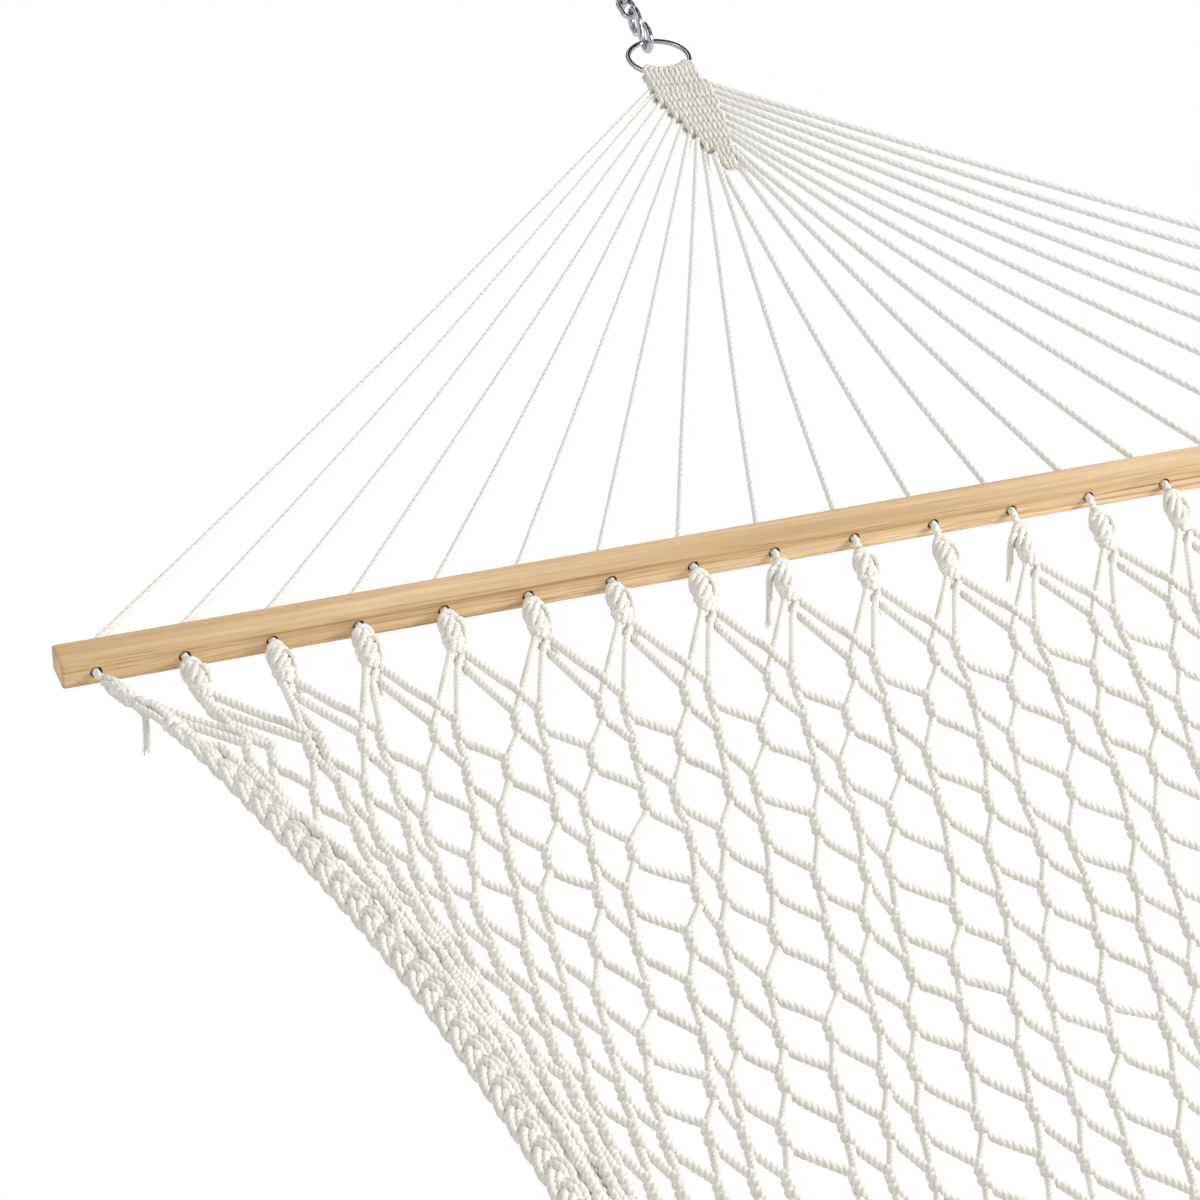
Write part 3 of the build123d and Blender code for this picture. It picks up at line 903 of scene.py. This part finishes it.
def clew_cord(ropes, i, vary):
    """Cord from a hole's outer mouth to the edge of its strap row and into the weave."""
    x = HOLE_X[i]
    row = min(i, HOLES - 1 - i)
    side = -1 if i < HOLES // 2 else 1
    # the pull towards the ring holds each cord against its hole's inner side
    back = np.array([x - 1.8 * np.clip(x / 250, -1, 1), BAR_OUTER, BAR_Z - 1.3])
    down = STRAP_TOP + (row + 0.78) * STRAP_ROW
    half = WARPS[row] * WARP_PITCH / 2
    lift = 0.0 if row < 7 else (2.6 if row % 2 else -2.6)
    start = back + np.array([0, 3.0, 0.3])
    edge = strap_point(side * (half + 0.6), down + 2.5, lift * 0.8)
    t = np.linspace(0, 1, 30)
    sag = (4.0 + 4.0 * abs(x) / BAR_REACH + vary[0]) * np.sin(math.pi * t)
    sway = 1.2 * vary[1] * np.sin(2 * math.pi * t)
    line = start + (edge - start) * t[:, None] - STRAP_OUT * sag[:, None]
    line = line + X_AXIS * sway[:, None]
    path = spline([
        back + np.array([0, -20, 0]),
        back + np.array([0, -8, 0]),
        *line,
        strap_point(side * (half - 5.5), down - 3.5, lift * 0.3),
        strap_point(side * max(half - 13, 0.5), down - 4.5, 0),
    ], 2.4, per=6)
    ropes.tube(path, CORD_RADIUS, 24.5, Z_AXIS, phase=1.3 * i, tone=0.25 * abs(vary[2]))


def ring_loop(ropes, k, x, tone):
    """One rope over the ring from the strap's upper face to its lower one."""
    angle = math.radians((k - (WARPS[0] - 1) / 2) * 8.6)
    outward = X_AXIS * math.sin(angle) - STRAP_UP * math.cos(angle)
    wire = RING_CENTRE + outward * RING_RADIUS
    radius = RING_WIRE + 2.5
    over = [wire + (-outward * math.cos(a) + STRAP_OUT * math.sin(a)) * radius
            for a in np.linspace(1.57, -1.57, 13)]
    path = spline([
        strap_point(x * 1.02, STRAP_TOP + 8, 0.4),
        strap_point(x, STRAP_TOP + 1, 1.8),
        wire + outward * 5 + STRAP_OUT * 4.6,
        *over,
        wire + outward * 5 - STRAP_OUT * 4.6,
        strap_point(x, STRAP_TOP + 1, -1.8),
        strap_point(x * 1.02, STRAP_TOP + 8, -0.4),
    ], 1.5, per=6)
    ropes.tube(path, 2.55, 26.0, X_AXIS, depth=0.1, phase=k * 1.1, tone=tone)


def warp_float(ropes, row, k, x, face, vary):
    """A warp's float: a plump grain that dives under its neighbours at both ends."""
    t = np.linspace(0, 1, 13)
    arch = np.sin(math.pi * t) ** 0.75
    x = x + (0.25 if row % 2 else -0.25) * WARP_PITCH + 0.2 * vary[1]
    middle = STRAP_TOP + (row + 0.5) * STRAP_ROW
    path = strap_point(
        x + 0.8 * (t - 0.5) * face,
        middle + (t - 0.5) * 18.5 + 0.5 * vary[2],
        face * (0.6 + (3.7 + 0.3 * vary[4]) * arch))
    plump = 0.5 + 0.5 * np.sin(math.pi * np.clip(t, 0.02, 0.98)) ** 0.5
    path, radii = resample(path, 1.4, (2.55 + 0.12 * vary[3]) * plump)
    ropes.tube(path, radii, 26.0, STRAP_OUT, depth=0.1, phase=k * 1.7 + row,
               tone=0.5 * abs(vary[3]))


def wefts(ropes, row):
    """Each row's pair of cords crosses inside the strap."""
    half = WARPS[row] * WARP_PITCH / 2
    down = STRAP_TOP + (row + 1) * STRAP_ROW - 0.3
    for q in (-1, 1):
        path = spline([
            strap_point(-half - 0.5, down + 1.4, 0),
            strap_point(-half * 0.5, down, q * 1.2),
            strap_point(0, down, -q * 1.2),
            strap_point(half * 0.5, down, q * 1.2),
            strap_point(half + 0.5, down + 1.4, 0),
        ], 1.6)
        ropes.tube(path, 2.5, 14.0, STRAP_OUT, depth=0.22, phase=row, tone=0.8, section=COARSE)


def strap_tail(ropes):
    """Below the last row the last cords draw together into a tight tail."""
    for q in range(6):
        x = (q - 2.5) * 2.3
        # share of x, rows down, distance from the mid-plane
        stations = [(1.5, 10.1, 2.4), (1.1, 10.8, 2.2), (0.7, 11.4, 1.2)]
        path = spline([strap_point(x * share, STRAP_TOP + rows * STRAP_ROW, out * (-1) ** q)
                       for share, rows, out in stations], 1.5)
        radii = np.interp(np.linspace(0, 1, len(path)), [0, 0.6, 1], [2.6, 2.5, 1.6])
        ropes.tube(path, radii, 16.0, STRAP_OUT, depth=0.15, phase=q, tone=0.6)


def build_clew(end):
    cords, strap = Ropes(end), Ropes(end)
    clew_random = np.random.default_rng(40)
    for i in range(HOLES):
        clew_cord(cords, i, clew_random.uniform(-1, 1, 4))
    for row, count in enumerate(WARPS):
        for k in range(count):
            x = (k - (count - 1) / 2) * WARP_PITCH
            for face in (1, -1):
                vary = clew_random.uniform(-1, 1, 5)
                if row == 0 and face == 1:
                    ring_loop(strap, k, x, tone=0.5 * abs(vary[0]))
                warp_float(strap, row, k, x, face, vary)
    for row in range(len(WARPS)):
        wefts(strap, row)
    strap_tail(strap)

    ob = cords.make(f"{end}_clew_rope", CORD_COTTON)
    inner, outer = ((0, SIGN[end] * y * MM, BAR_Z * MM) for y in (CLEW_Y - 5, CLEW_Y + 6))
    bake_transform(ob)
    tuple(inner)
    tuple(outer)
    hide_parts(f"{end}_clew_cords")
    ob = strap.make(f"{end}_woven_clew_strap", STRAP_COTTON)
    inner, outer = (tuple(strap_point(0, down, 0) * TURN[end] * MM) for down in (46, 33))
    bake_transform(ob)
    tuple(inner)
    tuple(outer)
    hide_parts(f"{end}_woven_strap", f"{end}_ring_loops")


for end in ("head", "foot"):
    build_clew(end)


# ---------------------------------------------------------------- hard parts keep their CAD shape
def paint(node, material):
    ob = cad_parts[node]
    if not ob.material_slots:
        ob.data.materials.append(material)
    for slot in ob.material_slots:
        slot.link = "OBJECT"
        slot.material = material


for end in ("head", "foot"):
    paint(f"{end}_spreader_bar", OAK)
    paint(f"{end}_ring", CHROME)
    paint(f"{end}_s_hook", ZINC)
    for k in range(1, 6):
        paint(f"{end}_chain_link_{k}", ZINC)

# ---------------------------------------------------------------- floor and world, in metres
yaw, pitch = math.radians(19.607), math.radians(29.959)
VIEW = Vector((math.sin(yaw) * math.cos(pitch), math.cos(yaw) * math.cos(pitch),
               -math.sin(pitch)))


def backdrop(sh, direction, ahead):
    """White around the camera's line of sight and pale grey at other angles, so that white
    rope stays visible."""
    dot = sh.add("ShaderNodeVectorMath", {0: direction, 1: tuple(ahead)},
                 operation="DOT_PRODUCT").outputs["Value"]
    return sh.add("ShaderNodeMapRange", {
        "Value": dot, "From Min": 0.84, "From Max": 0.955, "To Min": 0.5, "To Max": 1.0,
    }).outputs["Result"]


def build_floor():
    bpy.ops.mesh.primitive_plane_add(size=60, location=(0, 0, -0.55))
    floor = bpy.context.object
    floor.name = "floor"
    material, sh, surface = new_material("pale_floor")
    sh.set(surface, {"Base Color": (0.9, 0.9, 0.9, 1), "Roughness": 0.9})
    incoming = sh.add("ShaderNodeNewGeometry").outputs["Incoming"]
    glow = sh.add("ShaderNodeEmission", {
        "Color": (1, 1, 1, 1), "Strength": backdrop(sh, incoming, -VIEW)})
    mixed = sh.mix_shader(sh.camera_ray(), surface.outputs[0], glow.outputs[0])
    sh.set(sh.tree.nodes["Material Output"], {"Surface": mixed})
    floor.data.materials.append(material)
    floor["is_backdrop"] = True


def build_world():
    world = bpy.data.worlds.new("studio")
    bpy.context.scene.world = world
    world.use_nodes = True
    sh = Shader(world.node_tree)
    ambient = sh.tree.nodes["Background"]
    sh.set(ambient, {0: (1, 1, 1, 1), 1: 0.7})
    # polished metal sees soft boxes with dark gaps between them
    direction = sh.add("ShaderNodeSeparateXYZ", {0: sh.position("Generated")})
    height = sh.plus(sh.times(direction.outputs[2], 0.62), sh.times(direction.outputs[0], 0.3))
    bands = sh.ramp(sh.math("FRACT", sh.times(sh.plus(height, 1.0), 2.1)), [
        (0.0, (0.015, 0.015, 0.018)),
        (0.48, (0.03, 0.03, 0.034)),
        (0.55, (1.1, 1.1, 1.1)),
        (0.88, (1.35, 1.35, 1.35)),
        (0.97, (0.02, 0.02, 0.02)),
    ])
    boxes = sh.add("ShaderNodeBackground", {"Color": bands, "Strength": 1.0})
    glossy_ray = sh.add("ShaderNodeLightPath").outputs["Is Glossy Ray"]
    lighting = sh.mix_shader(glossy_ray, ambient.outputs[0], boxes.outputs[0])
    seen = sh.add("ShaderNodeBackground", {"Color": (1, 1, 1, 1), "Strength": 0.97})
    sh.set(seen, {"Strength": backdrop(sh, sh.position("Generated"), VIEW)})
    mixed = sh.mix_shader(sh.camera_ray(), lighting, seen.outputs[0])
    sh.set(sh.tree.nodes["World Output"], {"Surface": mixed})


build_floor()
build_world()


# ---------------------------------------------------------------- lights and camera, in metres
def area_light(name, location, target, size, power):
    data = bpy.data.lights.new(name, "AREA")
    data.energy = power
    data.size = size
    ob = bpy.data.objects.new(name, data)
    ob.location = location
    aim = Vector(target) - Vector(location)
    ob.rotation_euler = aim.to_track_quat("-Z", "Y").to_euler()
    bpy.context.scene.collection.objects.link(ob)


def build_camera():
    data = bpy.data.cameras.new("camera")
    camera = bpy.data.objects.new("camera", data)
    bpy.context.scene.collection.objects.link(camera)
    bpy.context.scene.camera = camera
    data.sensor_width = 36.0
    data.lens = 119.04
    data.clip_start = 0.05
    data.clip_end = 200
    right = Vector((math.cos(yaw), -math.sin(yaw), 0))
    bar_centre = Vector((0, 0.5 * (BAR_INNER + BAR_OUTER) * MM, BAR_Z * MM))
    matrix = Matrix((right, right.cross(VIEW), -VIEW)).transposed().to_4x4()
    matrix.translation = bar_centre + Vector((-1.2471, -2.6068, 1.5691))
    camera.matrix_world = matrix


area_light("key", location=(3.0, -0.9, 2.2), target=(0.0, 0.3, 0.1), size=1.0, power=128)
area_light("fill", location=(-3.0, 1.5, 2.8), target=(0.0, 0.4, 0.1), size=2.2, power=14)
build_camera()
view = bpy.context.scene.view_settings
view.view_transform = "Standard"
view.look = "None"
view.exposure = 0.0

visual_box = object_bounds()
boxes = {"cad": cad_box, "visual": visual_box}
{key: [list(map(float, v)) for v in box] for key, box in boxes.items()}
